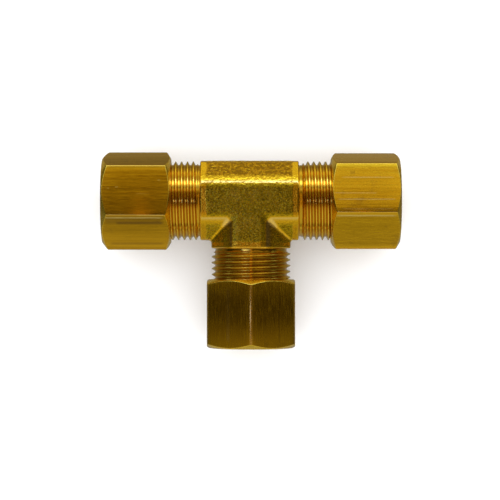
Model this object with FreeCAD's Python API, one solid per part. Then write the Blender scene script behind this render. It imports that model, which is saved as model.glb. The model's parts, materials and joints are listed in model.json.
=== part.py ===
import FreeCAD, Part
import math
import os
from FreeCAD import Vector

# A three-way brass compression tee for 3/8 in tube, lying on its flat side.
# The run lies along X, the branch points along -Y and +Z is up.
# The origin is the middle of the footprint, on the surface that the tee lies on.
# Lengths are millimetres. "Reach" is a distance from the tee's centre along a port's axis.

INCH = 25.4

# Tube and thread: 3/8 in outside-diameter tube, 9/16-24 thread. A thread cutter runs past
# the surface that it cuts by THREAD_OVERCUT. The seam of a turned surface is kept at a fixed
# angle from the start of the thread that is cut into it.
TUBE_RADIUS = 3 / 8 * INCH / 2
THREAD_PITCH = INCH / 24
THREAD_RADIUS = 7.114
ROOT_RADIUS = 6.490
NUT_MAJOR_RADIUS = 7.204
NUT_MINOR_RADIUS = 6.600
FLANK_SLOPE = math.tan(math.radians(30))
THREAD_OVERCUT = 0.05
ARM_THREAD_TURNS = 13.0
SEAM_TURN = -90.0

# Forged block: two crossing bars, square in section with bevelled and rounded corners.
BLOCK_ACROSS_FLATS = 9 / 16 * INCH
BLOCK_FLAT_WIDTH = 7.12
BLOCK_EDGE_RADIUS = 1.5
LEFT_BLOCK_END = 9.15
RIGHT_BLOCK_END = 8.60
BRANCH_BLOCK_END = 8.60
CROTCH_RADIUS = 0.4

# Turned arms. A plain neck comes out of the block and runs up into the thread. The groove
# distances are where a groove lies in the direction of its thread start.
NECK_RADIUS = 6.45
LEFT_NECK_END = 9.50
RIGHT_NECK_END = 9.20
BRANCH_NECK_END = 9.10
RUN_GROOVE = 9.88
BRANCH_GROOVE = 9.33
RUN_REACH = 21.00
BRANCH_REACH = 20.75
ARM_CHAMFER = 0.70

# Bores, measured back from the mouth of an arm.
WATERWAY_RADIUS = 3.97
SOCKET_RADIUS = TUBE_RADIUS + 0.07
STOP_DEPTH = 9.60
SEAT_DEPTH = 4.60
SEAT_SLOPE = math.tan(math.radians(13))

# Ferrule, measured from the mouth of an arm: negative is inside the arm.
FERRULE_TIP = -3.30
FERRULE_LENGTH = 6.35
FERRULE_BORE_RADIUS = TUBE_RADIUS + 0.06
FERRULE_RADIUS = 5.56
FERRULE_TIP_RADIUS = 5.00
FERRULE_BEVEL = 0.46
NOSE_SLOPE = math.tan(math.radians(15))

# Nut, measured from the mouth of an arm.
HEX_ACROSS_FLATS = 5 / 8 * INCH
NUT_INNER_FACE = -6.55
NUT_LENGTH = 12.40
NUT_CHAMFER_CIRCLE = 7.60
NUT_CHAMFER_ANGLE = 30
NUT_STEEP_CHAMFER_ANGLE = 43
NUT_HOLE_RADIUS = TUBE_RADIUS + 0.14
NUT_CONE_START = 1.60
NUT_RELIEF_RADIUS = 7.26
NUT_RELIEF_WIDTH = 1.00
NUT_MOUTH_CHAMFER = 0.72

# How far each nut is turned about its own axis. Zero puts a face level, facing up.
LEFT_NUT_TURN = 12.7
RIGHT_NUT_TURN = -16.1
BRANCH_NUT_TURN = 30.0

# Where the thread of each arm begins round its axis, from straight up.
LEFT_THREAD_START = 83.0
RIGHT_THREAD_START = -46.0
BRANCH_THREAD_START = -7.0

AXIS = Vector(0, 0, 1)
HEX_CORNER_RADIUS = HEX_ACROSS_FLATS / 2 / math.cos(math.radians(30))
NUT_OUTER_FACE = NUT_INNER_FACE + NUT_LENGTH
BACK_EXTENT = HEX_CORNER_RADIUS * math.cos(math.radians(LEFT_NUT_TURN))
CENTRE = Vector(0, (BRANCH_REACH + NUT_OUTER_FACE - BACK_EXTENT) / 2, HEX_CORNER_RADIUS)

PORTS = {
    "left": {
        "outward": Vector(-1, 0, 0),
        "neck_end": LEFT_NECK_END,
        "groove": RUN_GROOVE,
        "reach": RUN_REACH,
        "thread_start": LEFT_THREAD_START,
        "nut_turn": LEFT_NUT_TURN,
        "outer_chamfer_angle": NUT_STEEP_CHAMFER_ANGLE,
    },
    "right": {
        "outward": Vector(1, 0, 0),
        "neck_end": RIGHT_NECK_END,
        "groove": RUN_GROOVE,
        "reach": RUN_REACH,
        "thread_start": RIGHT_THREAD_START,
        "nut_turn": RIGHT_NUT_TURN,
        "outer_chamfer_angle": NUT_CHAMFER_ANGLE,
    },
    "branch": {
        "outward": Vector(0, -1, 0),
        "neck_end": BRANCH_NECK_END,
        "groove": BRANCH_GROOVE,
        "reach": BRANCH_REACH,
        "thread_start": BRANCH_THREAD_START,
        "nut_turn": BRANCH_NUT_TURN,
        "outer_chamfer_angle": NUT_CHAMFER_ANGLE,
    },
}


def turned(profile):
    """A solid of revolution about the port axis, from (radius, reach) points."""
    points = [Vector(radius, 0, reach) for radius, reach in profile]
    wire = Part.makePolygon(points + points[:1])
    return Part.Face(wire).revolve(Vector(), AXIS, 360)


def hexagon(across_flats, first_face):
    """The corners of a hexagon, with one face at the angle first_face from the X axis."""
    corner_radius = across_flats / 2 / math.cos(math.radians(30))
    angles = [math.radians(first_face + 30 + 60 * side) for side in range(6)]
    return [Vector(math.cos(angle), math.sin(angle), 0) * corner_radius for angle in angles]


def bevelled_square(across_flats, flat_width):
    """The eight corners of a square whose own corners are bevelled to leave flats this wide."""
    flat, half = across_flats / 2, flat_width / 2
    quarter = [Vector(flat, half, 0), Vector(half, flat, 0)]
    corners = []
    for turn in range(4):
        rotation = FreeCAD.Rotation(AXIS, 90 * turn)
        corners += [rotation.multVec(corner) for corner in quarter]
    return corners


def prism(corners, start, end):
    """A bar along the port axis, with a polygon as its section."""
    section = Part.Face(Part.makePolygon(corners + corners[:1]))
    section.translate(AXIS * start)
    return section.extrude(AXIS * (end - start))


def thread_cutter(start, end, start_angle, inner, outer):
    """A right-hand helical bar along +Z, whose section joins two (radius, half width)."""
    (inner_radius, inner_half), (outer_radius, outer_half) = inner, outer
    path = Part.Wire(Part.makeHelix(THREAD_PITCH, end - start, outer_radius))
    section = [
        Vector(inner_radius, 0, -inner_half),
        Vector(inner_radius, 0, inner_half),
        Vector(outer_radius, 0, outer_half),
        Vector(outer_radius, 0, -outer_half),
    ]
    cutter = path.makePipeShell([Part.makePolygon(section + section[:1])], True, True)
    cutter.rotate(Vector(), AXIS, start_angle)
    cutter.translate(AXIS * start)
    return cutter


def cut_thread(blank, cutter):
    """The blank with its helical groove. Most of the cutter's bulk must have met metal."""
    threaded = blank.cut(cutter)
    if blank.Volume - threaded.Volume < cutter.Volume / 2:
        raise ValueError("the thread did not cut")
    return threaded


def placed(shape, port):
    """A shape made along +Z, moved to its port. Its X axis becomes straight up."""
    z_axis = port["outward"]
    x_axis = Vector(0, 0, 1)
    y_axis = z_axis.cross(x_axis)
    rotation = FreeCAD.Rotation(x_axis, y_axis, z_axis, "ZXY")
    moved = shape.copy()
    moved.Placement = FreeCAD.Placement(CENTRE, rotation).multiply(shape.Placement)
    return moved


def rounded_bar(port, start, end):
    """One bar of the forged block, with its long edges rounded."""
    bar = prism(bevelled_square(BLOCK_ACROSS_FLATS, BLOCK_FLAT_WIDTH), start, end)
    long_edges = [edge for edge in bar.Edges if edge.Length > BLOCK_FLAT_WIDTH + 1]
    return placed(bar.makeFillet(BLOCK_EDGE_RADIUS, long_edges), port)


def is_crotch(edge):
    """Whether an edge lies on a 45 degree plane where the run's bar meets the branch's."""
    ends = [edge.valueAt(edge.FirstParameter), edge.valueAt(edge.LastParameter)]
    offsets = [end - CENTRE for end in ends]
    return all(abs(abs(offset.x) - abs(offset.y)) < 0.001 for offset in offsets)


def forged_block():
    """The run's bar and the branch's bar in one, with their crotches filled a little."""
    run = rounded_bar(PORTS["right"], -LEFT_BLOCK_END, RIGHT_BLOCK_END)
    branch = rounded_bar(PORTS["branch"], 0, BRANCH_BLOCK_END)
    block = run.fuse(branch).removeSplitter()
    return block.makeFillet(CROTCH_RADIUS, [edge for edge in block.Edges if is_crotch(edge)])


def arm(port):
    """A turned arm: a neck, then a threaded spigot with its end chamfered."""
    neck_end = port["neck_end"]
    reach = port["reach"]
    rise = THREAD_RADIUS - NECK_RADIUS
    blank = turned([
        (0, 0),
        (NECK_RADIUS, 0),
        (NECK_RADIUS, neck_end),
        (THREAD_RADIUS, neck_end + rise * FLANK_SLOPE),
        (THREAD_RADIUS, reach - ARM_CHAMFER),
        (THREAD_RADIUS - ARM_CHAMFER, reach),
        (0, reach),
    ])
    blank.rotate(Vector(), AXIS, SEAM_TURN)
    clear_radius = THREAD_RADIUS + THREAD_OVERCUT
    root_half = THREAD_PITCH / 8
    clear_half = root_half + (clear_radius - ROOT_RADIUS) * FLANK_SLOPE
    first_groove = port["groove"] - THREAD_PITCH
    cutter = thread_cutter(
        first_groove,
        first_groove + ARM_THREAD_TURNS * THREAD_PITCH,
        0,
        (ROOT_RADIUS, root_half),
        (clear_radius, clear_half),
    )
    threaded = cut_thread(blank, cutter)
    threaded.rotate(Vector(), AXIS, port["thread_start"])
    return threaded


def arm_bore(port):
    """The waterway, the tube socket with its stop, and the ferrule's tapered seat."""
    reach = port["reach"]
    past = 1.0
    return turned([
        (0, 0),
        (WATERWAY_RADIUS, 0),
        (WATERWAY_RADIUS, reach - STOP_DEPTH),
        (SOCKET_RADIUS, reach - STOP_DEPTH),
        (SOCKET_RADIUS, reach - SEAT_DEPTH),
        (SOCKET_RADIUS + (SEAT_DEPTH + past) * SEAT_SLOPE, reach + past),
        (0, reach + past),
    ])


def tee_body():
    """The forged and turned tee: one solid with three threaded arms and a bore through each."""
    body = forged_block()
    for port in PORTS.values():
        body = body.fuse(placed(arm(port), port))
    for port in PORTS.values():
        body = body.cut(placed(arm_bore(port), port))
    return body


def ferrule(port):
    """The compression ring: a plain bore, a long tapered nose and a bevelled back."""
    tip = port["reach"] + FERRULE_TIP
    back = tip + FERRULE_LENGTH
    nose_end = tip + (FERRULE_RADIUS - FERRULE_TIP_RADIUS) / NOSE_SLOPE
    ring = turned([
        (FERRULE_BORE_RADIUS, tip),
        (FERRULE_TIP_RADIUS, tip),
        (FERRULE_RADIUS, nose_end),
        (FERRULE_RADIUS, back - FERRULE_BEVEL),
        (FERRULE_RADIUS - FERRULE_BEVEL, back),
        (FERRULE_BORE_RADIUS, back),
    ])
    return placed(ring, port)


def hex_blank(port, inner_face, outer_face):
    """The nut's hexagon, with both ends turned back to a cone."""
    corner_radius = HEX_CORNER_RADIUS + 0.2
    rise = corner_radius - NUT_CHAMFER_CIRCLE
    inner_drop = rise * math.tan(math.radians(NUT_CHAMFER_ANGLE))
    outer_drop = rise * math.tan(math.radians(port["outer_chamfer_angle"]))
    envelope = turned([
        (0, inner_face),
        (NUT_CHAMFER_CIRCLE, inner_face),
        (corner_radius, inner_face + inner_drop),
        (corner_radius, outer_face - outer_drop),
        (NUT_CHAMFER_CIRCLE, outer_face),
        (0, outer_face),
    ])
    section = hexagon(HEX_ACROSS_FLATS, port["nut_turn"] - port["thread_start"])
    return prism(section, inner_face, outer_face).common(envelope)


def nut(port):
    """The compression nut: female thread, relief, 45 degree ferrule cone and tube hole."""
    mouth = port["reach"]
    inner_face = mouth + NUT_INNER_FACE
    outer_face = mouth + NUT_OUTER_FACE
    cone_start = mouth + NUT_CONE_START
    cone_end = cone_start + NUT_MINOR_RADIUS - NUT_HOLE_RADIUS
    relief_start = cone_start - NUT_RELIEF_WIDTH
    mouth_radius = NUT_MINOR_RADIUS + NUT_MOUTH_CHAMFER
    past = 1.0
    bore = turned([
        (0, inner_face - past),
        (mouth_radius + past, inner_face - past),
        (NUT_MINOR_RADIUS, inner_face + NUT_MOUTH_CHAMFER),
        (NUT_MINOR_RADIUS, relief_start),
        (NUT_RELIEF_RADIUS, relief_start),
        (NUT_RELIEF_RADIUS, cone_start),
        (NUT_MINOR_RADIUS, cone_start),
        (NUT_HOLE_RADIUS, cone_end),
        (NUT_HOLE_RADIUS, outer_face + past),
        (0, outer_face + past),
    ])
    start = inner_face - THREAD_PITCH
    start_angle = 360 * ((start - port["groove"]) / THREAD_PITCH + 0.5)
    bore.rotate(Vector(), AXIS, start_angle + SEAM_TURN)
    major_half = THREAD_PITCH / 16
    clear_radius = NUT_MINOR_RADIUS - THREAD_OVERCUT
    clear_half = major_half + (NUT_MAJOR_RADIUS - clear_radius) * FLANK_SLOPE
    cutter = thread_cutter(
        start,
        relief_start + NUT_RELIEF_WIDTH / 2,
        start_angle,
        (clear_radius, clear_half),
        (NUT_MAJOR_RADIUS, major_half),
    )
    threaded = cut_thread(hex_blank(port, inner_face, outer_face).cut(bore), cutter)
    threaded.rotate(Vector(), AXIS, port["thread_start"])
    return placed(threaded, port)


def export(name, shape):
    """Write one node's solid to its own STEP file."""
    solid = shape.Solids[0]
    if len(shape.Solids) != 1 or not solid.isValid():
        raise ValueError(f"{name} is not one valid solid")
    solid.exportStep(f"parts/{name}.step")
    box = solid.optimalBoundingBox()
    print(f"{name}: {solid.Volume:.1f} mm3, X {box.XMin:.2f} to {box.XMax:.2f}, "
          f"Y {box.YMin:.2f} to {box.YMax:.2f}, Z {box.ZMin:.2f} to {box.ZMax:.2f}")


os.makedirs("parts", exist_ok=True)
export("tee_body", tee_body())
for port_name, port in PORTS.items():
    export(f"{port_name}_ferrule", ferrule(port))
    export(f"{port_name}_nut", nut(port))
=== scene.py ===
import json
import math

import bmesh
import bpy
import numpy as np
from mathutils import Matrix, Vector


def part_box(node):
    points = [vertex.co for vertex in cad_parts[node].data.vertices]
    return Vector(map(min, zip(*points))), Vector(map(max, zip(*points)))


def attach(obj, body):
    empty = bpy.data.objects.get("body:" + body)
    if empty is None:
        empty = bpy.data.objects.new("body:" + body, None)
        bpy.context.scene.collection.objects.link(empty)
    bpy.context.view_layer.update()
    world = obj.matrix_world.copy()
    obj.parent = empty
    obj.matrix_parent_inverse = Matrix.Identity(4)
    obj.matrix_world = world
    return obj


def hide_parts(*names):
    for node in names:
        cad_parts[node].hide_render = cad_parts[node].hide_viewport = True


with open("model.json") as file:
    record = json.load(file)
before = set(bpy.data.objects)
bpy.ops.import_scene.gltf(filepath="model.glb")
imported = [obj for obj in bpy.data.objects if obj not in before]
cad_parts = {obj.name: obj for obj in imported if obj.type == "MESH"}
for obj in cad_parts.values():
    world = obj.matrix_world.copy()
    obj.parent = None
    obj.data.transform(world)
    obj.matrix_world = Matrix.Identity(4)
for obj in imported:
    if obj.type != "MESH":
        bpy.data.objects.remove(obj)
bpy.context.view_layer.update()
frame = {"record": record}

# The look of a brass compression tee. Lengths are millimetres until a mesh is finished.
MM = 0.001
TAU = 2 * math.pi

# ---------------------------------------------------------------- sizes

PITCH = 25.4 / 24
CREST_RADIUS = 7.11
ROOT_RADIUS = 6.49
CREST_HALF = 0.08
ROOT_HALF = PITCH / 8
NUT_MAJOR_RADIUS = 7.20
NUT_MINOR_RADIUS = 6.60
NUT_MAJOR_HALF = PITCH / 16
THREAD_SOFTNESS = 0.05

BLOCK_HALF = 25.4 * 9 / 32
BLOCK_FLAT_HALF = 3.30
BLOCK_EDGE_RADIUS = 0.35
BLOCK_WORN_TILT = math.radians(28)
BLOCK_WORN_START = 2.76
BLOCK_END = {"left": 9.15, "right": 8.60, "branch": 8.60}
BLOCK_END_RADIUS = 0.30
BLOCK_SMOOTH_END = 1.05
DIE_SHIFT = 0.42
BLOCK_GRID = 0.115

NECK_RADIUS = 6.45
NECK_FILLET = 0.12
ARM_CHAMFER = 0.70
WATERWAY_RADIUS = 3.97
SOCKET_RADIUS = 4.8325
STOP_DEPTH = 9.60
SEAT_DEPTH = 4.60
SEAT_SLOPE = math.tan(math.radians(13))

HEX_HALF = 25.4 * 5 / 16
NUT_CHAMFER_CIRCLE = 7.60
NUT_HOLE_RADIUS = 4.9025
NUT_CONE_START = 1.60
NUT_RELIEF_RADIUS = 7.26
NUT_RELIEF_WIDTH = 1.00
EDGE_BREAK = 0.07
PILLOW_WIDTH = 1.3
PILLOW_TILT = math.radians(5)

FERRULE_BORE_RADIUS = 4.8225
FERRULE_RADIUS = 5.56
FERRULE_TIP_RADIUS = 5.00
FERRULE_BEVEL = 0.46
NOSE_SLOPE = math.tan(math.radians(15))

SMOOTH_BELOW = math.radians(38)

# ---------------------------------------------------------------- the frame

mounts = {mount["name"]: mount for mount in frame["record"]["mounts"]}
run_socket = mounts["right_tube_socket"]["pos_m"]
branch_socket = mounts["branch_tube_socket"]["pos_m"]
CENTRE = np.array([branch_socket[0], run_socket[1], run_socket[2]]) / MM
UP = np.array([0.0, 0.0, 1.0])


class Port:
    """One arm of the tee. Distance is outward from the tee's centre and angle from straight up.

    groove is the distance at which a groove of the thread lies straight up.
    """

    def __init__(self, name, neck_end, groove, nut_turn, corner_radius, chamfer_angle):
        self.name = name
        self.neck_end = neck_end
        self.groove = groove
        self.nut_turn = nut_turn
        self.corner_radius = corner_radius
        self.chamfer_angle = chamfer_angle
        self.outward = np.array(mounts[f"{name}_tube_socket"]["axis"], float)
        self.reach = self.extent("tee_body")[1]
        self.nut_inner, self.nut_outer = self.extent(f"{name}_nut")
        self.ferrule_tip, self.ferrule_back = self.extent(f"{name}_ferrule")

    def extent(self, node):
        """How near and how far a CAD node lies along this port's axis."""
        corners = [np.array(corner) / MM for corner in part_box(node)]
        along = sorted(float((corner - CENTRE) @ self.outward) for corner in corners)
        return along[0], along[1]

    def place(self, radius, angle, distance):
        """Points in the row frame, in millimetres, from the port's own coordinates."""
        sideways = np.cross(self.outward, UP)
        across = np.cos(angle)[..., None] * UP + np.sin(angle)[..., None] * sideways
        return CENTRE + radius[..., None] * across + distance[..., None] * self.outward


PORTS = [
    Port("left", 9.50, 9.88 - PITCH * 83 / 360, 12.7, 0.30, 37),
    Port("right", 9.20, 9.88 + PITCH * 46 / 360, -16.1, 0.30, 30),
    Port("branch", 9.10, 9.33 + PITCH * 7 / 360, 30.0, 0.80, 30),
]

# ---------------------------------------------------------------- mesh helpers


def new_object(name, mesh, body):
    """An object in the scene that rides on a CAD body and takes its finish from a slot."""
    piece = bpy.data.objects.new(name, mesh)
    bpy.context.scene.collection.objects.link(piece)
    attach(piece, body)
    return piece


def mesh_from(name, points, faces):
    """A Blender mesh from millimetre points."""
    mesh = bpy.data.meshes.new(name)
    mesh.from_pydata((np.asarray(points) * MM).tolist(), [], faces)
    return mesh


def finish_shading(mesh):
    """Smooth faces, with an edge kept sharp where two faces meet steeply."""
    mesh.shade_smooth()
    mesh.set_sharp_from_angle(angle=SMOOTH_BELOW)


class Shell:
    """A closed surface made of strips of quads round an axis, which are then welded."""

    def __init__(self, port, angles):
        self.port = port
        self.angles = angles
        self.points = []
        self.faces = []
        self.count = 0

    def add_grid(self, radii, distances, seam_shift=0):
        """A strip of rows. The last column joins the first one, seam_shift rows on."""
        rows, columns = radii.shape
        angle = np.broadcast_to(self.angles, radii.shape)
        self.points.append(self.port.place(radii, angle, distances).reshape(-1, 3))
        index = self.count + np.arange(rows * columns).reshape(rows, columns)
        after = np.minimum(np.arange(rows) + seam_shift, rows - 1)
        joined = np.hstack([index, index[after, :1]])
        quads = np.stack(
            [joined[:-1, :-1], joined[:-1, 1:], joined[1:, 1:], joined[1:, :-1]], axis=-1
        )
        self.faces += quads.reshape(-1, 4).tolist()
        self.count += rows * columns

    def add_profile(self, profile):
        """Rows from (radius, distance) pairs. Either may vary round the axis."""
        rows = [np.broadcast_arrays(radius, distance, self.angles)[:2] for radius, distance in profile]
        self.add_grid(np.array([row[0] for row in rows]), np.array([row[1] for row in rows]))

    def build(self, name):
        """The welded mesh, with its normals outward and its collapsed faces gone."""
        mesh = mesh_from(name, np.vstack(self.points), self.faces)
        work = bmesh.new()
        work.from_mesh(mesh)
        bmesh.ops.remove_doubles(work, verts=work.verts, dist=2e-4 * MM)
        bmesh.ops.dissolve_degenerate(work, edges=work.edges, dist=1e-4 * MM)
        bmesh.ops.recalc_face_normals(work, faces=work.faces)
        work.to_mesh(mesh)
        work.free()
        return mesh


def even_angles(columns):
    """Directions all round an axis, without the last one that repeats the first."""
    return np.arange(columns) * TAU / columns


def rounded(corner, before, after, size):
    """A corner of a profile replaced by three points. Each is a (radius, distance) pair."""
    corner, before, after = (np.array(pair, float) for pair in (corner, before, after))
    start = corner + (before - corner) / np.linalg.norm(before - corner) * size
    end = corner + (after - corner) / np.linalg.norm(after - corner) * size
    middle = (start + 2 * corner + end) / 4
    return [tuple(start), tuple(middle), tuple(end)]


def turned_profile(points, size):
    """A profile whose inner corners are all a little rounded."""
    result = [points[0]]
    for before, corner, after in zip(points, points[1:], points[2:]):
        result += rounded(corner, before, after, size)
    return result + [points[-1]]


def smooth_clamp(value, low, high, softness):
    """A value held between two limits, with rounded turns where it meets them."""
    value = low + softness * np.logaddexp(0, (value - low) / softness)
    return high - softness * np.logaddexp(0, (high - value) / softness)


def thread_profile(root_radius, crest_radius, root_half, crest_half):
    """One pitch of a thread as (offset from the groove's middle, radius), with rounded turns."""
    half = PITCH / 2
    flank = (half - root_half - crest_half) / 5
    offsets = [0, root_half * 0.6, root_half]
    offsets += [root_half + flank * step for step in (0.5, 1, 2.5, 4, 4.5, 5)]
    offsets += [half - crest_half * 0.5, half]
    offsets = np.array(offsets + [PITCH - offset for offset in offsets[-2:0:-1]])
    away = np.minimum(offsets, PITCH - offsets)
    rise = (crest_radius - root_radius) * (away - root_half) / (half - crest_half - root_half)
    low, high = sorted((root_radius, crest_radius))
    return offsets, smooth_clamp(root_radius + rise, low, high, THREAD_SOFTNESS * 0.4)


def add_thread(shell, start, end, groove, profile, envelope, outside):
    """A helical strip between two plain circles. groove is where a groove lies at angle zero."""
    offsets, radii = profile
    first = math.floor((start - PITCH - groove) / PITCH)
    turns = math.ceil((end - groove) / PITCH) - first + 1
    base = np.concatenate([groove + PITCH * (first + turn) + offsets for turn in range(turns)])
    base = np.append(base, groove + PITCH * (first + turns))
    level = np.append(np.tile(radii, turns), radii[0])
    distance = np.clip(base[:, None] + PITCH * shell.angles[None, :] / TAU, start, end)
    limit = np.interp(distance, [pair[1] for pair in envelope], [pair[0] for pair in envelope])
    keep = np.minimum if outside else np.maximum
    shell.add_grid(keep(level[:, None], limit), distance, seam_shift=len(offsets))


# ---------------------------------------------------------------- deterministic noise


def lattice_noise(points, scale, seed):
    """Smooth noise between -1 and 1 at the points, with features about scale across."""
    scaled = points / scale
    cell = np.floor(scaled).astype(np.int64)
    part = scaled - cell
    part = part * part * (3 - 2 * part)
    total = np.zeros(len(points))
    for corner in np.ndindex(2, 2, 2):
        at = cell + np.array(corner)
        key = (at[:, 0] * 73856093) ^ (at[:, 1] * 19349663) ^ (at[:, 2] * 83492791) ^ (seed * 2654435761)
        key = (key ^ (key >> 13)) * 1274126177 & 0xFFFFFFFF
        value = ((key ^ (key >> 16)) & 0xFFFF) / 32767.5 - 1
        weight = np.prod(np.where(corner, part, 1 - part), axis=1)
        total += weight * value
    return total


# ---------------------------------------------------------------- the forged block


def soft_min(one, other, size):
    """The lesser of two values, blended where they are nearly equal."""
    blend = np.maximum(size - np.abs(one - other), 0) / size
    return np.minimum(one, other) - blend * blend * size / 4


def round_max(one, other, radius):
    """The greater of two distances, with a rounded edge."""
    outside = np.hypot(np.maximum(one + radius, 0), np.maximum(other + radius, 0))
    return np.minimum(np.maximum(one, other), -radius) + outside


def bevelled_section(across, height):
    """Distance outside the block's section: a square with bevelled corners, worn above and below."""
    bevel = (across + height - BLOCK_HALF - BLOCK_FLAT_HALF) / math.sqrt(2)
    section = round_max(across - BLOCK_HALF, height - BLOCK_HALF, BLOCK_EDGE_RADIUS)
    section = round_max(section, bevel, BLOCK_EDGE_RADIUS)
    worn = (across - BLOCK_WORN_START) * math.sin(BLOCK_WORN_TILT)
    worn += (height - BLOCK_HALF) * math.cos(BLOCK_WORN_TILT)
    return round_max(section, worn, BLOCK_EDGE_RADIUS)


def block_distance(points):
    """Distance outside the forged block, for points measured from the tee's centre."""
    x, y, z = points[..., 0], points[..., 1], points[..., 2]
    shift = DIE_SHIFT * np.clip((z - 3.0) / (BLOCK_HALF - 3.0), 0, 1)
    crotch = 0.40 + 0.55 * np.clip(z / BLOCK_HALF, 0, 1)
    branch = np.maximum(soft_min(np.abs(x + shift), -y, crotch), 0)
    section = bevelled_section(np.where(y > 0, y, branch), np.abs(z))
    ends = round_max(section, -x - BLOCK_END["left"], BLOCK_END_RADIUS)
    ends = round_max(ends, x - BLOCK_END["right"], BLOCK_END_RADIUS)
    return round_max(ends, -y - BLOCK_END["branch"], BLOCK_END_RADIUS)


def end_depth(points):
    """How far points are from the nearest end of the block, which varies a little by place."""
    x, y = points[:, 0], points[:, 1]
    nearest = np.minimum(BLOCK_END["right"] - x, BLOCK_END["left"] + x)
    nearest = np.minimum(nearest, BLOCK_END["branch"] + y)
    return nearest + 0.16 * lattice_noise(points, 0.9, 8) + 0.08 * lattice_noise(points, 0.35, 9)


def gradient(distance, points):
    """The direction in which a distance grows fastest, at each point."""
    step = 0.002
    columns = []
    for axis in range(3):
        shift = np.zeros(3)
        shift[axis] = step
        columns.append((distance(points + shift) - distance(points - shift)) / (2 * step))
    return np.stack(columns, axis=-1)


def surface_net(distance, low, high, step):
    """Quads on the zero surface of a distance, one vertex to each grid cell that it crosses."""
    sides = [np.arange(a, b + step, step) for a, b in zip(low, high)]
    grid = np.stack(np.meshgrid(*sides, indexing="ij"), axis=-1)
    inside = distance(grid) < 0
    cells = np.zeros(tuple(n - 1 for n in inside.shape), int)
    for corner in np.ndindex(2, 2, 2):
        cells += inside[tuple(slice(c, n - 1 + c) for c, n in zip(corner, inside.shape))]
    active = (cells > 0) & (cells < 8)
    index = np.full(active.shape, -1)
    index[active] = np.arange(active.sum())
    points = np.argwhere(active) * step + np.array([side[0] for side in sides]) + step / 2
    faces = []
    for axis in range(3):
        first = [slice(1, -1)] * 3
        second = [slice(1, -1)] * 3
        first[axis] = slice(0, -1)
        second[axis] = slice(1, None)
        change = inside[tuple(first)].astype(int) - inside[tuple(second)]
        at = np.argwhere(change != 0)
        grows = change[change != 0] > 0
        at[:, [a for a in range(3) if a != axis]] += 1
        others = [a for a in range(3) if a != axis]
        corners = []
        for back_one, back_two in ((1, 1), (0, 1), (0, 0), (1, 0)):
            cell = at.copy()
            cell[:, others[0]] -= back_one
            cell[:, others[1]] -= back_two
            corners.append(index[cell[:, 0], cell[:, 1], cell[:, 2]])
        quads = np.stack(corners, axis=-1)
        flip = grows if axis == 1 else ~grows
        quads[flip] = quads[flip][:, ::-1]
        faces += quads.tolist()
    for _ in range(6):
        slope = gradient(distance, points)
        length = np.maximum((slope * slope).sum(-1), 0.2)
        points = points - slope * (distance(points) / length)[:, None]
    return points, faces


def forging_relief(points, normals):
    """How far the forged skin stands off its plain shape: waves, grain, pits and a flash line."""
    waves = 0.016 * lattice_noise(points, 2.6, 1) + 0.010 * lattice_noise(points, 1.1, 2)
    grain = 0.010 * lattice_noise(points, 0.42, 3) + 0.010 * lattice_noise(points, 0.25, 4)
    pits = np.maximum(lattice_noise(points, 0.5, 5) - 0.30, 0)
    tilted = pitting(points, normals)
    rough = np.clip((end_depth(points) - BLOCK_SMOOTH_END) / 0.25, 0, 1)
    flash = np.exp(-((points[:, 2] / 0.42) ** 4)) * (np.abs(normals[:, 2]) < 0.3)
    ragged = 0.5 + 0.5 * lattice_noise(points, 0.8, 6)
    skin = grain * (0.7 + 0.9 * tilted) - pits * (0.03 + 0.09 * tilted)
    return waves + rough * skin - 0.02 * (1 - rough) + 0.03 * flash * (0.4 + 0.6 * ragged)


def forged_block():
    """The tee's block as one closed mesh, with the skin of a forging."""
    room = 3 * BLOCK_GRID
    low = (-BLOCK_END["left"] - room, -BLOCK_END["branch"] - room, -BLOCK_HALF - room)
    high = (BLOCK_END["right"] + room, BLOCK_HALF + room, BLOCK_HALF + room)
    points, faces = surface_net(block_distance, low, high, BLOCK_GRID)
    normals = gradient(block_distance, points)
    normals /= np.linalg.norm(normals, axis=1)[:, None]
    points = points + normals * forging_relief(points, normals)[:, None]
    return mesh_from("forged_block", points + CENTRE, faces)


# ---------------------------------------------------------------- the tee


def arm(port):
    """A solid turned arm: a neck out of the block, then the male thread up to the mouth."""
    shell = Shell(port, even_angles(176))
    inside = 3.0
    block_end = BLOCK_END[port.name]
    neck_start = block_end + NECK_FILLET
    shell.add_profile([(0, inside), (NECK_RADIUS + NECK_FILLET, inside)])
    neck = [
        (NECK_RADIUS + NECK_FILLET, inside),
        (NECK_RADIUS + NECK_FILLET, block_end),
        (NECK_RADIUS, neck_start),
    ]
    shell.add_profile(turned_profile(neck, 0.05))
    envelope = [
        (NECK_RADIUS, port.neck_end),
        (CREST_RADIUS + 0.01, port.neck_end + 0.38),
        (CREST_RADIUS + 0.01, port.reach - ARM_CHAMFER),
        (CREST_RADIUS - ARM_CHAMFER, port.reach),
    ]
    profile = thread_profile(ROOT_RADIUS, CREST_RADIUS, ROOT_HALF, CREST_HALF)
    add_thread(shell, neck_start, port.reach, port.groove, profile, envelope, True)
    shell.add_profile([(CREST_RADIUS - ARM_CHAMFER, port.reach), (0, port.reach)])
    return shell.build("arm")


def bore(port):
    """The space inside an arm: waterway, tube stop, socket and tapered seat."""
    shell = Shell(port, even_angles(128))
    stop = port.reach - STOP_DEPTH
    seat = port.reach - SEAT_DEPTH
    past = 1.0
    start = 0.02
    profile = [
        (0, start),
        (WATERWAY_RADIUS, start),
        (WATERWAY_RADIUS, stop - 0.25),
        (WATERWAY_RADIUS + 0.25, stop),
        (SOCKET_RADIUS, stop),
        (SOCKET_RADIUS, seat),
        (SOCKET_RADIUS + SEAT_DEPTH * SEAT_SLOPE, port.reach),
        (SOCKET_RADIUS + SEAT_DEPTH * SEAT_SLOPE + past, port.reach + past),
        (0, port.reach + past),
    ]
    shell.add_profile(turned_profile(profile[:-1], 0.04) + profile[-1:])
    return shell.build("bore")


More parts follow.
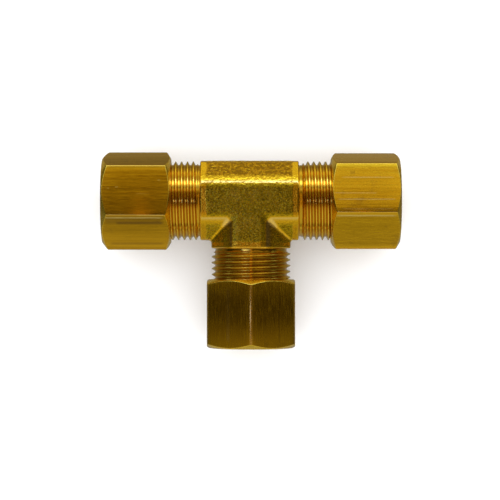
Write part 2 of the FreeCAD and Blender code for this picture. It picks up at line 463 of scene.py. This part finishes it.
def combined(base, tools, operation):
    """A mesh after a boolean with each tool mesh in turn."""
    scene = bpy.context.scene.collection
    for tool_mesh in tools:
        target = bpy.data.objects.new("boolean_target", base)
        tool = bpy.data.objects.new("boolean_tool", tool_mesh)
        scene.objects.link(target)
        scene.objects.link(tool)
        modifier = target.modifiers.new("boolean", "BOOLEAN")
        modifier.operation = operation
        modifier.solver = "MANIFOLD"
        modifier.object = tool
        evaluated = target.evaluated_get(bpy.context.evaluated_depsgraph_get())
        base = bpy.data.meshes.new_from_object(evaluated)
        bpy.data.objects.remove(target)
        bpy.data.objects.remove(tool)
    return base


def paint(mesh, name, values):
    """Stores a value from 0 to 1 at each vertex, for the materials."""
    layer = mesh.attributes.new(name, "FLOAT", "POINT")
    layer.data.foreach_set("value", np.clip(values, 0, 1).astype(np.float32))


def vertex_offsets(mesh):
    """Where a mesh's vertices are from the tee's centre, in millimetres."""
    points = np.empty(len(mesh.vertices) * 3, np.float32)
    mesh.vertices.foreach_get("co", points)
    return points.reshape(-1, 3).astype(float) / MM - CENTRE


def tee_wear_and_sheen(points):
    """Worn metal and a painted highlight on the tee: a pale band painted on the block's rounded edges
    that tilt to mirror the strip light, cleaner metal at the block's ends, and the crests of the threads
    against their grooves, where low values leave painted shade.
    """
    normals = gradient(block_distance, points)
    upright = np.abs(normals[:, 2]) / np.linalg.norm(normals, axis=1)
    tilt = np.arccos(np.clip(upright, 0, 1))
    # Painted highlight: faces tilted about 28 degrees mirror the strip light, so the pale worn colour is
    # painted on them.
    from_edge = np.minimum(abs(tilt - BLOCK_WORN_TILT), abs(tilt + BLOCK_WORN_TILT - TAU / 4))
    edge = 1.3 - from_edge / math.radians(11)
    ends = 1 - (end_depth(points) - BLOCK_SMOOTH_END) / 0.25
    wear_and_sheen = np.maximum(np.clip(edge, 0, 1), 0.5 * np.clip(ends, 0, 1))
    for port in PORTS:
        along = points @ port.outward
        radius = np.linalg.norm(points - along[:, None] * port.outward, axis=1)
        # On the threads the value is 1 at the crests and 0 in the grooves, where the turned finish
        # paints shade.
        wear_and_sheen = np.where(along > BLOCK_END[port.name] + 0.01, (radius - 6.60) / 0.36, wear_and_sheen)
    return wear_and_sheen


def pitting(points, normals):
    """Where the forging is pitted most: on the bevels at its back."""
    tilted = 4 * np.abs(normals[:, 1] * normals[:, 2]) - 1
    return np.clip(tilted, 0, 1) * (points[:, 1] > 0)


def set_material_index(mesh, index):
    """Gives every face of a mesh the same material index."""
    mesh.polygons.foreach_set("material_index", np.full(len(mesh.polygons), index, np.int32))


def make_tee(forged, turned):
    """The tee body: forged outside, turned on its arms and in its bores."""
    block = forged_block()
    arms = [arm(port) for port in PORTS]
    bores = [bore(port) for port in PORTS]
    for mesh in [block, *arms, *bores]:
        mesh.materials.append(forged)
        mesh.materials.append(turned)
    for mesh in arms + bores:
        set_material_index(mesh, 1)
    mesh = combined(combined(block, arms, "UNION"), bores, "DIFFERENCE")
    mesh.name = "tee"
    points = vertex_offsets(mesh)
    normals = gradient(block_distance, points)
    normals /= np.maximum(np.linalg.norm(normals, axis=1), 0.001)[:, None]
    paint(mesh, "wear_and_sheen", tee_wear_and_sheen(points))
    paint(mesh, "pitted", pitting(points, normals))
    finish_shading(mesh)
    piece = new_object("tee", mesh, "tee")
    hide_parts("tee_body")
    return piece


# ---------------------------------------------------------------- nuts and ferrules


def half_face(port):
    """Half of one side of a nut's section: a flat, a gentle fall and a rounded corner."""
    fall = np.linspace(0, 1, 9)[1:]
    tilts = PILLOW_TILT * fall**2
    steps = np.full(len(fall), PILLOW_WIDTH / len(fall))
    turn = np.linspace(0, 1, 8)[1:]
    tilts = np.append(tilts, PILLOW_TILT + (math.radians(30) - PILLOW_TILT) * (turn - 1 / 14))
    arc = port.corner_radius * (math.radians(30) - PILLOW_TILT) / len(turn)
    steps = np.append(steps, np.full(len(turn), arc))
    drop = np.cumsum(steps * np.sin(tilts))
    along = np.cumsum(steps * np.cos(tilts))
    flat_end = (HEX_HALF - drop[-1]) * math.tan(math.radians(30)) - along[-1]
    flat = np.linspace(0, flat_end, 6)
    across = np.append(flat, flat_end + along)
    out = np.append(np.full(len(flat), HEX_HALF), HEX_HALF - drop)
    return np.arctan2(across, out), np.hypot(across, out)


def hexagon(port):
    """The directions and radii of a nut's section, closer together over its corners."""
    angle, radius = half_face(port)
    angle = np.concatenate([-angle[:0:-1], angle[:-1]])
    radius = np.concatenate([radius[:0:-1], radius[:-1]])
    turns = np.radians(60 * np.arange(6) + port.nut_turn)
    angles = (turns[:, None] + angle[None, :]).ravel() % TAU
    order = np.argsort(angles)
    return angles[order], np.tile(radius, 6)[order]


def chamfer_rows(radius, face, inward, angle):
    """Rows of a nut's end, from its end circle up the cone and over the edge on to the flats."""
    slope = math.tan(math.radians(angle))
    cone = np.array([math.cos(math.radians(angle)), math.sin(math.radians(angle))])
    size = EDGE_BREAK
    circle = NUT_CHAMFER_CIRCLE
    edge = face + inward * (radius - circle) * slope
    cone_out = (circle + size * cone[0], face + inward * size * cone[1])
    below = (radius - size * cone[0], edge - inward * size * cone[1])
    above = (radius, edge + inward * size)
    middle = tuple((a + 2 * b + c) / 4 for a, b, c in zip(below, (radius, edge), above))
    lip = ((circle - size + 2 * circle + cone_out[0]) / 4, (3 * face + cone_out[1]) / 4)
    return [(circle - size, face), lip, cone_out, below, middle, above]


def nut_mesh(port):
    """A compression nut as one closed surface, hexagonal outside and threaded inside."""
    angles, radius = hexagon(port)
    shell = Shell(port, angles)
    inner_end = chamfer_rows(radius, port.nut_inner, 1, 30)
    outer_end = chamfer_rows(radius, port.nut_outer, -1, port.chamfer_angle)
    shell.add_profile(inner_end + outer_end[::-1])
    cone_start = port.reach + NUT_CONE_START
    cone_end = cone_start + NUT_MINOR_RADIUS - NUT_HOLE_RADIUS
    relief = cone_start - NUT_RELIEF_WIDTH
    mouth = NUT_MINOR_RADIUS + port.nut_inner + 0.72
    hole = [
        (NUT_CHAMFER_CIRCLE - EDGE_BREAK, port.nut_outer),
        (NUT_HOLE_RADIUS + 0.22, port.nut_outer),
        (NUT_HOLE_RADIUS, port.nut_outer - 0.22),
        (NUT_HOLE_RADIUS, cone_end),
        (NUT_MINOR_RADIUS, cone_start),
        (NUT_RELIEF_RADIUS, cone_start),
        (NUT_RELIEF_RADIUS, relief),
    ]
    shell.add_profile(turned_profile(hole, 0.05))
    entry = 0.72
    envelope = [
        (NUT_MINOR_RADIUS + entry, port.nut_inner),
        (NUT_MINOR_RADIUS, port.nut_inner + entry),
        (NUT_MINOR_RADIUS, relief - 0.12),
        (NUT_RELIEF_RADIUS, relief),
    ]
    profile = thread_profile(NUT_MAJOR_RADIUS, NUT_MINOR_RADIUS, NUT_MAJOR_HALF, PITCH / 8)
    groove = port.groove + PITCH / 2
    add_thread(shell, port.nut_inner, relief, groove, profile, envelope, False)
    inner_circle = NUT_CHAMFER_CIRCLE - EDGE_BREAK
    shell.add_profile([(mouth - port.nut_inner, port.nut_inner), (inner_circle, port.nut_inner)])
    return shell.build(f"{port.name}_nut_mesh")


def nut_wear_and_sheen(port, points):
    """Worn metal and a painted highlight on a nut: its corners and the edges of its chamfers."""
    along = points @ port.outward
    radial = points - along[:, None] * port.outward
    radius = np.linalg.norm(radial, axis=1)
    angle = np.arctan2(radial @ np.cross(port.outward, UP), radial @ UP)
    sixth = TAU / 6
    offset = (angle - math.radians(port.nut_turn) + sixth / 2) % sixth - sixth / 2
    fall = HEX_HALF - radius * np.cos(offset)
    # Sharper corners get more of the pale colour, which is a painted highlight as well as wear.
    sharpness = 0.30 / port.corner_radius
    return sharpness * np.clip((fall - 0.045) / 0.05, 0, 1)


def mark_turned_faces(port, mesh):
    """Gives the second material to every face of a nut that isn't one of its six flats."""
    for face in mesh.polygons:
        offset = np.array(face.center) / MM - CENTRE
        along = offset @ port.outward
        radius = np.linalg.norm(offset - along * port.outward)
        flat = radius > NUT_CHAMFER_CIRCLE + 0.1 and abs(np.array(face.normal) @ port.outward) < 0.2
        face.material_index = 0 if flat else 1


def make_nut(port, drawn, turned):
    """One compression nut."""
    mesh = nut_mesh(port)
    mesh.materials.append(drawn)
    mesh.materials.append(turned)
    mark_turned_faces(port, mesh)
    paint(mesh, "wear_and_sheen", nut_wear_and_sheen(port, vertex_offsets(mesh)))
    finish_shading(mesh)
    piece = new_object(f"{port.name}_compression_nut", mesh, f"{port.name}_nut")
    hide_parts(f"{port.name}_nut")
    return piece


def make_ferrule(port, turned):
    """One ferrule, with its edges broken."""
    shell = Shell(port, even_angles(160))
    tip, back = port.ferrule_tip, port.ferrule_back
    nose_end = tip + (FERRULE_RADIUS - FERRULE_TIP_RADIUS) / NOSE_SLOPE
    outline = [
        (FERRULE_BORE_RADIUS, (tip + back) / 2),
        (FERRULE_BORE_RADIUS, tip),
        (FERRULE_TIP_RADIUS, tip),
        (FERRULE_RADIUS, nose_end),
        (FERRULE_RADIUS, back - FERRULE_BEVEL),
        (FERRULE_RADIUS - FERRULE_BEVEL, back),
        (FERRULE_BORE_RADIUS, back),
        (FERRULE_BORE_RADIUS, (tip + back) / 2),
    ]
    shell.add_profile(turned_profile(outline, 0.05))
    mesh = shell.build(f"{port.name}_ferrule_mesh")
    mesh.materials.append(turned)
    finish_shading(mesh)
    piece = new_object(f"{port.name}_compression_ferrule", mesh, f"{port.name}_ferrule")
    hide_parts(f"{port.name}_ferrule")
    return piece


# ---------------------------------------------------------------- materials


class Nodes:
    """A short way to build a node tree."""

    def __init__(self, tree):
        self.tree = tree

    def add(self, kind, **values):
        node = self.tree.nodes.new(kind)
        for key, value in values.items():
            if key in node.inputs:
                node.inputs[key].default_value = value
            else:
                setattr(node, key, value)
        return node

    def link(self, source, target):
        self.tree.links.new(source, target)

    def feed(self, socket, value):
        """Sets an input to a number or a colour, or links it to an output."""
        if isinstance(value, (int, float)):
            socket.default_value = value
        elif isinstance(value, tuple):
            socket.default_value = (*value, 1.0)
        else:
            self.link(value, socket)

    def math(self, operation, one, other=0.0):
        node = self.add("ShaderNodeMath", operation=operation)
        self.feed(node.inputs[0], one)
        self.feed(node.inputs[1], other)
        return node.outputs["Value"]

    def remap(self, source, low, high, to_low=0.0, to_high=1.0, kind="LINEAR"):
        """A value stretched from one range on to another, and held inside it."""
        node = self.add("ShaderNodeMapRange", interpolation_type=kind)
        limits = {"From Min": low, "From Max": high, "To Min": to_low, "To Max": to_high}
        for name, value in limits.items():
            node.inputs[name].default_value = value
        self.link(source, node.inputs["Value"])
        return node.outputs["Result"]

    def mix(self, factor, one, other, kind="MIX"):
        """A colour made from two others. Each is a colour or an output."""
        node = self.add("ShaderNodeMix", data_type="RGBA", blend_type=kind, clamp_result=False)
        self.feed(node.inputs["Factor"], factor)
        self.feed(node.inputs[6], one)
        self.feed(node.inputs[7], other)
        return node.outputs[2]

    def parts(self, vector):
        """The X, Y and Z of a vector."""
        node = self.add("ShaderNodeSeparateXYZ")
        self.link(vector, node.inputs["Vector"])
        return node.outputs["X"], node.outputs["Y"], node.outputs["Z"]

    def ramp(self, source, stops):
        """A colour looked up from stops, each a (position, colour) pair in rising order."""
        node = self.add("ShaderNodeValToRGB")
        elements = node.color_ramp.elements
        for position, _ in stops[1:-1]:
            elements.new(position)
        for element, (position, colour) in zip(elements, stops):
            element.position = position
            element.color = (*colour, 1.0)
        self.link(source, node.inputs["Fac"])
        return node.outputs["Color"]


class Metal(Nodes):
    """A metal's material, with textures fixed to the object."""

    def __init__(self, name):
        self.material = bpy.data.materials.new(name)
        self.material.use_nodes = True
        super().__init__(self.material.node_tree)
        self.shader = self.tree.nodes["Principled BSDF"]
        self.shader.inputs["Metallic"].default_value = 1.0
        self.place = self.add("ShaderNodeTexCoord").outputs["Object"]

    def noise(self, scale, detail=2.0, roughness=0.5):
        """Noise between 0 and 1. scale holds cycles per metre along X, Y and Z."""
        mapping = self.add("ShaderNodeMapping")
        mapping.inputs["Scale"].default_value = scale
        self.link(self.place, mapping.inputs["Vector"])
        texture = self.add("ShaderNodeTexNoise", Scale=1.0, Detail=detail, Roughness=roughness)
        self.link(mapping.outputs["Vector"], texture.inputs["Vector"])
        return texture.outputs["Fac"]

    def painted(self, name):
        """A value stored in the mesh: the wear mask holds worn metal with a painted highlight on edges
        and, where low on the threads, painted shade in the grooves; pitted is the roughest skin.
        """
        return self.add("ShaderNodeAttribute", attribute_name=name).outputs["Fac"]

    def bump(self, height, strength, distance, under=None):
        node = self.add("ShaderNodeBump", Strength=strength, Distance=distance)
        self.link(height, node.inputs["Height"])
        if under is not None:
            self.link(under, node.inputs["Normal"])
        return node.outputs["Normal"]

    def finish(self, colour, roughness, normal):
        self.link(colour, self.shader.inputs["Base Color"])
        self.link(roughness, self.shader.inputs["Roughness"])
        self.link(normal, self.shader.inputs["Normal"])
        return self.material


# A pale, whitish brass: worn metal, and also a painted highlight that stands in for the glint of light
# on edges, corners and bright marks.
WORN_AND_SHEEN_BRASS = (0.95, 0.68, 0.16)
TURNED_BRIGHT = (0.90, 0.60, 0.045)
TURNED_BRASS = (0.80, 0.51, 0.028)
# A darker, redder brass painted in thread grooves as shade.
SHADED_GROOVE_BRASS = (0.70, 0.41, 0.018)
DRAWN_BRIGHT = (0.86, 0.48, 0.010)
DRAWN_BRASS = (0.72, 0.39, 0.007)
DRAWN_SOFT = (0.64, 0.34, 0.006)
# The left nut's darker brass, partly painted shade.
DRAWN_SHADED = (0.52, 0.27, 0.005)
FORGED_LIGHT = (0.64, 0.44, 0.009)
FORGED_DARK = (0.25, 0.17, 0.004)
FORGED_WARM = (0.52, 0.23, 0.0025)
FORGED_PIT = (0.24, 0.11, 0.002)
STAIN = (0.24, 0.12, 0.015)


class Mark:
    """A line along a nut: a scratch, a die line or a dark streak, in millimetres.

    across is how far it lies from the nut's axis, to the back on the run and to the right on
    the branch. near and far are distances from the tee's centre. Dark marks are negative.
    """

    def __init__(self, across, near, far, half_width, strength):
        self.across = across
        self.middle = (near + far) / 2
        self.half_length = (far - near) / 2
        self.half_width = half_width
        self.strength = strength


MARKS = {
    "left": [
        Mark(-3.65, 15.4, 26.4, 0.95, -0.45),
        Mark(-3.19, 15.4, 26.6, 0.17, 1.0),
        Mark(-2.72, 15.4, 20.4, 0.11, 0.6),
        Mark(-4.10, 15.4, 24.2, 0.30, -0.75),
        Mark(-7.75, 15.4, 25.6, 0.30, -0.45),
        Mark(2.30, 23.6, 24.2, 0.10, 1.0),
        Mark(2.10, 25.2, 25.6, 0.08, 0.7),
        Mark(3.55, 16.2, 16.6, 0.09, 0.9),
        Mark(1.10, 18.0, 20.5, 0.06, 0.5),
    ],
    "right": [
        Mark(4.05, 16.0, 25.6, 0.12, 0.6),
        Mark(4.90, 17.6, 18.6, 0.55, -0.30),
        Mark(1.24, 14.6, 22.5, 0.11, 0.6),
        Mark(0.13, 15.2, 25.8, 0.13, 0.9),
        Mark(-1.60, 16.0, 25.5, 0.12, 0.5),
        Mark(-2.80, 14.8, 26.0, 0.20, 0.8),
    ],
    "branch": [
        Mark(5.07, 14.8, 26.0, 0.14, -0.35),
        Mark(2.40, 15.5, 25.5, 0.30, -0.12),
        Mark(-4.10, 15.5, 25.5, 0.40, 0.15),
    ],
}


def drawn_brass(port, light, dark, sheen, texture):
    """The flats of a nut: bar stock with fine lines drawn along it, streaks, nicks, stains, and worn
    metal with a painted highlight on its corners.
    """
    nodes = Metal(f"drawn_brass_{port.name}")
    run = port.outward[0] != 0
    lines = nodes.noise((500, 6500, 6500) if run else (6500, 500, 6500), 3.0, 0.6)
    broad = nodes.noise((25, 1300, 1300) if run else (1300, 25, 1300), 3.0, 0.6)
    blotch = nodes.noise((260, 260, 260), 3.0, 0.55)
    tone = nodes.math("MULTIPLY", nodes.remap(broad, 0.25, 0.60), nodes.remap(lines, 0.10, 0.60))
    colour = nodes.mix(tone, dark, light)
    colour = nodes.mix(nodes.remap(blotch, 0.60, 0.74, 0.0, 0.35), colour, STAIN)
    x, y, _ = nodes.parts(nodes.place)
    sideways, lengthways = (y, x) if run else (x, y)
    side, centre = (CENTRE[1], CENTRE[0]) if run else (CENTRE[0], CENTRE[1])
    way = port.outward[0] + port.outward[1]
    for mark in MARKS[port.name]:
        aside = nodes.math("SUBTRACT", sideways, float(side + mark.across) * MM)
        ahead = nodes.math("SUBTRACT", lengthways, float(centre + way * mark.middle) * MM)
        narrow = nodes.remap(
            nodes.math("ABSOLUTE", aside), mark.half_width * MM, mark.half_width * 0.2 * MM
        )
        short = nodes.remap(
            nodes.math("ABSOLUTE", ahead), mark.half_length * MM, mark.half_length * 0.85 * MM
        )
        amount = nodes.math("MULTIPLY", narrow, short)
        amount = nodes.math("MULTIPLY", amount, nodes.remap(lines, 0.3, 0.55, 0.5, 1.0))
        amount = nodes.math("MULTIPLY", amount, abs(mark.strength))
        colour = nodes.mix(amount, colour, WORN_AND_SHEEN_BRASS if mark.strength > 0 else STAIN)
    # Worn metal and a painted highlight on the nut's corners.
    colour = nodes.mix(nodes.math("MULTIPLY", nodes.painted("wear_and_sheen"), 0.75), colour, WORN_AND_SHEEN_BRASS)
    rough = nodes.remap(lines, 0.3, 0.7, sheen - 0.05, sheen + 0.08)
    normal = nodes.bump(lines, 0.30 * texture, 0.00002)
    normal = nodes.bump(broad, 0.35 * texture, 0.00006, normal)
    return nodes.finish(colour, rough, normal)


def turned_brass(name, light, dark, sheen, worn):
    """A turned surface: clean metal with faint tool lines and, if worn is set, painted shade in its
    thread grooves.
    """
    nodes = Metal(name)
    fine = nodes.noise((5200, 5200, 5200), 2.0, 0.5)
    blotch = nodes.noise((600, 600, 600), 3.0, 0.55)
    colour = nodes.mix(nodes.remap(blotch, 0.35, 0.68), light, dark)
    if worn:
        # Painted shade: the thread grooves take a darker, redder brass that stands in for the light
        # bounced between the flanks.
        colour = nodes.mix(nodes.painted("wear_and_sheen"), SHADED_GROOVE_BRASS, colour)
    rough = nodes.remap(fine, 0.3, 0.7, sheen - 0.04, sheen + 0.07)
    return nodes.finish(colour, rough, nodes.bump(fine, 0.15, 0.00001))


def forged_brass():
    """The forged skin: a fine matt grain with specks, worn to clean metal along its edges, with a
    painted highlight on the rounded edges that mirror the strip light.
    """
    nodes = Metal("forged_brass_skin")
    grain = nodes.noise((3400, 3400, 3400), 3.0, 0.6)
    speck = nodes.noise((2300, 2300, 2300), 2.0, 0.5)
    blotch = nodes.noise((330, 330, 330), 3.0, 0.55)
    colour = nodes.mix(nodes.remap(grain, 0.35, 0.62), FORGED_DARK, FORGED_LIGHT)
    colour = nodes.mix(nodes.remap(blotch, 0.5, 0.75, 0.0, 0.35), colour, TURNED_BRASS)
    clean = nodes.mix(nodes.remap(grain, 0.30, 0.55), DRAWN_BRASS, DRAWN_BRIGHT)
    wear_and_sheen = nodes.painted("wear_and_sheen")
    pitted = nodes.painted("pitted")
    hollow = nodes.math("MULTIPLY", pitted, nodes.remap(speck, 0.60, 0.45, 0.0, 0.85))
    colour = nodes.mix(nodes.math("MULTIPLY", pitted, 0.8), colour, FORGED_WARM)
    colour = nodes.mix(hollow, colour, FORGED_PIT)
    # Clean metal, then the pale colour that is a painted highlight as well as wear, on the edges.
    colour = nodes.mix(nodes.remap(wear_and_sheen, 0.0, 0.5), colour, clean)
    colour = nodes.mix(nodes.remap(wear_and_sheen, 0.6, 1.0, 0.0, 0.55), colour, WORN_AND_SHEEN_BRASS)
    skin = nodes.math("SUBTRACT", 1.0, nodes.math("MULTIPLY", wear_and_sheen, 0.75))
    rough = nodes.remap(speck, 0.35, 0.65, 0.20, 0.14)
    rough = nodes.math("ADD", rough, nodes.math("MULTIPLY", skin, 0.10))
    height = nodes.math("MULTIPLY", grain, skin)
    normal = nodes.bump(height, 1.0, 0.00005)
    deep = nodes.math("MULTIPLY", speck, nodes.remap(pitted, 0.0, 1.0, 1.0, 2.4))
    return nodes.finish(colour, rough, nodes.bump(deep, 0.5, 0.00008, normal))


def floor_material():
    """A plain pale floor with a trace of tone."""
    nodes = Metal("pale_floor")
    nodes.shader.inputs["Metallic"].default_value = 0.0
    nodes.shader.inputs["Roughness"].default_value = 0.7
    nodes.shader.inputs["Specular IOR Level"].default_value = 0.0
    tone = nodes.remap(nodes.noise((9, 9, 9)), 0.3, 0.7)
    pale = nodes.mix(tone, (0.90, 0.90, 0.90), (0.92, 0.92, 0.92))
    nodes.link(pale, nodes.shader.inputs["Base Color"])
    return nodes.material


# ---------------------------------------------------------------- floor, light and camera


def make_floor():
    """A large pale floor under the tee."""
    side = 3.0
    mesh = bpy.data.meshes.new("floor")
    corners = [(-side, -side, 0), (side, -side, 0), (side, side, 0), (-side, side, 0)]
    mesh.from_pydata(corners, [], [(0, 1, 2, 3)])
    mesh.materials.append(floor_material())
    floor = bpy.data.objects.new("floor", mesh)
    bpy.context.scene.collection.objects.link(floor)
    floor.visible_glossy = False


# What the metal mirrors: a brightness and a tint by angle, in degrees from straight up
# towards the back of the tee. Beyond 90 degrees lies whatever is below the horizon.
BRIGHTNESS = [
    (-180, 0.25), (-150, 0.34), (-120, 0.48), (-107, 0.34), (-99, 0.76), (-93, 0.32), (-87, 0.24),
    (-75, 0.58), (-45, 0.57), (-27, 0.55), (-10, 0.10), (4, 0.06), (14, 0.13), (22, 0.20),
    (27, 0.14), (32, 0.48), (36, 0.95), (41, 0.40), (46, 0.44), (52, 1.00), (56, 2.40), (64, 2.40),
    (68, 0.90), (73, 0.62), (86, 0.58), (95, 0.94), (104, 0.95), (113, 0.52), (126, 0.38),
    (145, 0.18), (153, 0.38), (180, 0.20),
]
TINTS = [
    (-180, (1.00, 1.00, 1.00)), (-150, (1.00, 1.00, 1.00)), (-90, (1.00, 1.00, 1.20)),
    (-45, (1.00, 1.02, 1.30)), (-10, (1.00, 0.80, 0.80)), (30, (1.00, 0.78, 0.40)),
    (50, (1.00, 1.22, 2.60)), (60, (1.00, 1.38, 3.90)), (70, (1.00, 1.15, 2.40)),
    (80, (1.00, 1.00, 0.90)), (110, (1.00, 0.98, 0.70)), (150, (1.00, 0.86, 0.30)),
    (180, (1.00, 1.00, 1.00)),
]
TOP = 5.0
TINT_TOP = 4.0

# Smaller lights and pale panels: direction, the angles where each is full and gone, colour.
LAMPS = [
    ((-0.667, -0.667, 0.333), 4, 14, (0.5, 0.4, 0.15)),
    ((0.667, -0.667, 0.333), 4, 14, (0.25, 0.18, 0.05)),
    ((-0.93, 0.00, -0.37), 8, 26, (0.05, 0.05, 0.05)),
    ((0.93, 0.00, -0.37), 8, 26, (0.08, 0.07, 0.07)),
]
# How bright the studio is from the middle out to its left and right.
SIDES = [(0.0, 1.0), (0.20, 1.0), (0.36, 1.25), (0.60, 1.0), (0.78, 0.48), (0.88, 0.40), (1.0, 0.16)]

# One thin line of light overhead, along the tee's branch, and one short strip beside it. Each pair
# holds where a direction's sideways, lengthways or upward part starts to count and counts in full.
LINE_GLOW = (1.20, 0.68, 0.14)
LINE_ASIDE = (0.028, 0.012)
LINE_UP = (0.90, 0.96)
STRIP_GLOW = (2.0, 2.5, 14.0)
STRIP_PLACE = -0.025
STRIP_LENGTHWAYS = (0.04, 0.025)
STRIP_LEFTWARD = (-0.02, -0.26)
STRIP_UP = (0.86, 0.90)


def make_world():
    """A studio that the brass reflects: a long strip light behind, soft panels, dark sides."""
    world = bpy.data.worlds.new("studio")
    bpy.context.scene.world = world
    world.use_nodes = True
    world.node_tree.nodes.clear()
    nodes = Nodes(world.node_tree)
    direction = nodes.add("ShaderNodeTexCoord").outputs["Generated"]
    x, y, z = nodes.parts(direction)
    turn = nodes.remap(nodes.math("ARCTAN2", y, z), -math.pi, math.pi)
    levels = [((angle + 180) / 360, (value / TOP,) * 3) for angle, value in BRIGHTNESS]
    tints = [((angle + 180) / 360, tuple(part / TINT_TOP for part in tint)) for angle, tint in TINTS]
    glow = nodes.mix(1.0, nodes.ramp(turn, levels), nodes.ramp(turn, tints), "MULTIPLY")
    aside = nodes.math("ABSOLUTE", x)
    sides = nodes.ramp(aside, [(place, (TINT_TOP * TOP * level,) * 3) for place, level in SIDES])
    glow = nodes.mix(1.0, glow, sides, "MULTIPLY")
    line = nodes.math("MULTIPLY", nodes.remap(aside, *LINE_ASIDE), nodes.remap(z, *LINE_UP))
    glow = nodes.mix(line, glow, LINE_GLOW, "ADD")
    off = nodes.math("ABSOLUTE", nodes.math("ADD", y, -STRIP_PLACE))
    strip = nodes.math("MULTIPLY", nodes.remap(off, *STRIP_LENGTHWAYS), nodes.remap(z, *STRIP_UP))
    strip = nodes.math("MULTIPLY", strip, nodes.remap(x, *STRIP_LEFTWARD))
    glow = nodes.mix(strip, glow, STRIP_GLOW, "ADD")
    for lamp, full, gone, colour in LAMPS:
        dot = nodes.add("ShaderNodeVectorMath", operation="DOT_PRODUCT")
        nodes.link(direction, dot.inputs[0])
        dot.inputs[1].default_value = lamp
        near = nodes.remap(
            dot.outputs["Value"], math.cos(math.radians(gone)), math.cos(math.radians(full)),
            kind="SMOOTHSTEP",
        )
        glow = nodes.mix(near, glow, colour, "ADD")
    studio = nodes.add("ShaderNodeBackground")
    nodes.link(glow, studio.inputs["Color"])
    plain = nodes.add("ShaderNodeBackground", Color=(0.97, 0.97, 0.97, 1))
    ray = nodes.add("ShaderNodeLightPath")
    chosen = nodes.add("ShaderNodeMixShader")
    nodes.link(ray.outputs["Is Camera Ray"], chosen.inputs["Fac"])
    nodes.link(studio.outputs["Background"], chosen.inputs[1])
    nodes.link(plain.outputs["Background"], chosen.inputs[2])
    nodes.link(chosen.outputs["Shader"], nodes.add("ShaderNodeOutputWorld").inputs["Surface"])
    world.cycles_visibility.diffuse = False


def make_floor_light():
    """A very soft light from above, for the floor and the tee's shadow on it."""
    data = bpy.data.lights.new("overhead", "SUN")
    data.angle = math.radians(175)
    data.energy = 5.4
    light = bpy.data.objects.new("overhead", data)
    light.rotation_euler = (math.radians(-14), math.radians(-10), 0)
    light.visible_glossy = False
    bpy.context.scene.collection.objects.link(light)


def make_camera():
    """Straight above the tee, with the branch towards the bottom of the picture."""
    height = 416.0
    span = 90.5
    data = bpy.data.cameras.new("camera")
    data.sensor_width = 36.0
    data.lens = data.sensor_width * height / span
    data.clip_start = 0.01
    camera = bpy.data.objects.new("camera", data)
    camera.location = (-0.18 * MM, -0.07 * MM, (CENTRE[2] + height) * MM)
    bpy.context.scene.collection.objects.link(camera)
    bpy.context.scene.camera = camera


# ---------------------------------------------------------------- assembly

bpy.context.scene.view_settings.view_transform = "Standard"
make_camera()
make_world()
make_floor_light()
make_floor()

# The arms' finish paints shade in their thread grooves.
arm_metal = turned_brass("turned_brass_arm", TURNED_BRIGHT, TURNED_BRASS, 0.15, True)
nut_metal = turned_brass("turned_brass_nut", TURNED_BRIGHT, TURNED_BRASS, 0.22, False)
ferrule_metal = turned_brass("turned_brass_ferrule", TURNED_BRIGHT, TURNED_BRASS, 0.18, False)
left, right, branch = PORTS
# One brass for all three nuts, but the left is painted darker and the right lighter: partly painted
# shade and painted highlight for how the light falls on each, partly a difference between batches.
flats = {
    "left": drawn_brass(left, DRAWN_BRASS, DRAWN_SHADED, 0.19, 0.8),
    "right": drawn_brass(right, DRAWN_BRIGHT, DRAWN_BRASS, 0.21, 1.0),
    "branch": drawn_brass(branch, DRAWN_BRASS, DRAWN_SOFT, 0.22, 0.15),
}

make_tee(forged_brass(), arm_metal)
for port in PORTS:
    make_nut(port, flats[port.name], nut_metal)
    make_ferrule(port, ferrule_metal)
